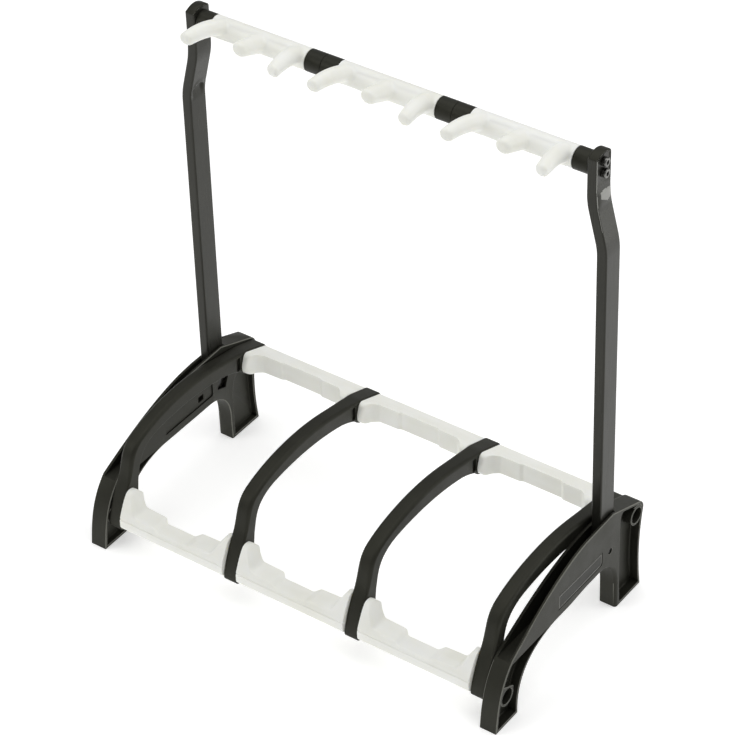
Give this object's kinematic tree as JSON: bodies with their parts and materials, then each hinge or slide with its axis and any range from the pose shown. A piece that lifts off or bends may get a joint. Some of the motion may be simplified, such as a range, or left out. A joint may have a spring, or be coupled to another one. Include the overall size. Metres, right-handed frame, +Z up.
{
  "type": "guitar rack",
  "caption": "Floor rack for guitars: moulded side parts and arches on cross tubes form bays with soft rests, below a folding tubular frame with a horned neck bar.",
  "frame": {"origin": "centre of the footprint, on the floor", "axes": "+X across the rack to its right as seen from the front, +Y towards the back, +Z up"},
  "size_m": [0.475, 0.2502, 0.5266],
  "materials": {
    "black_plastic": "satin black moulded plastic with a fine grain",
    "black_coated_tube": "satin black coated steel tube",
    "milky_rubber": "milky translucent soft rubber",
    "bright_steel": "zinc plated",
    "black_bolt": "black oxide",
    "bright_screw": "bright nickel",
    "label_black": "satin black plate"
  },
  "bodies": {
    "rack": {"side_part_left": "black_plastic", "side_part_right": "black_plastic", "end_arch_left": "black_plastic", "end_arch_right": "black_plastic", "divider_arch_left": "black_plastic", "divider_arch_right": "black_plastic", "front_rest_left": "milky_rubber", "back_rest_left": "milky_rubber", "front_rest_centre": "milky_rubber", "back_rest_centre": "milky_rubber", "front_rest_right": "milky_rubber", "back_rest_right": "milky_rubber", "front_cross_tube": "bright_steel", "front_tube_plug_left": "bright_steel", "front_tube_bolt_left": "black_bolt", "front_tube_plug_right": "bright_steel", "front_tube_bolt_right": "black_bolt", "back_cross_tube": "bright_steel", "back_tube_plug_left": "bright_steel", "back_tube_bolt_left": "black_bolt", "back_tube_plug_right": "bright_steel", "back_tube_bolt_right": "black_bolt", "pivot_bolt_left": "bright_steel", "pivot_bolt_right": "bright_steel", "label_plate": "label_black"},
    "neck_frame": {"upright_left": "black_coated_tube", "upright_cap_left": "black_plastic", "neck_bar_block_left": "bright_steel", "neck_screw_upper_left": "bright_screw", "neck_screw_lower_left": "bright_screw", "upright_right": "black_coated_tube", "upright_cap_right": "black_plastic", "neck_bar_block_right": "bright_steel", "neck_screw_upper_right": "bright_screw", "neck_screw_lower_right": "bright_screw", "neck_bar_core": "bright_steel", "neck_rest_left": "milky_rubber", "neck_sleeve_left_left": "black_plastic", "neck_sleeve_left_right": "black_plastic", "neck_rest_centre": "milky_rubber", "neck_sleeve_centre_left": "black_plastic", "neck_sleeve_centre_right": "black_plastic", "neck_rest_right": "milky_rubber", "neck_sleeve_right_left": "black_plastic", "neck_sleeve_right_right": "black_plastic"}
  },
  "joints": [
    {"name": "neck_frame_fold", "type": "hinge", "parent": "rack", "child": "neck_frame", "pos_m": [0, 0.06635, 0.081], "axis": [1, 0, 0], "range_deg": [0, 88]}
  ]
}
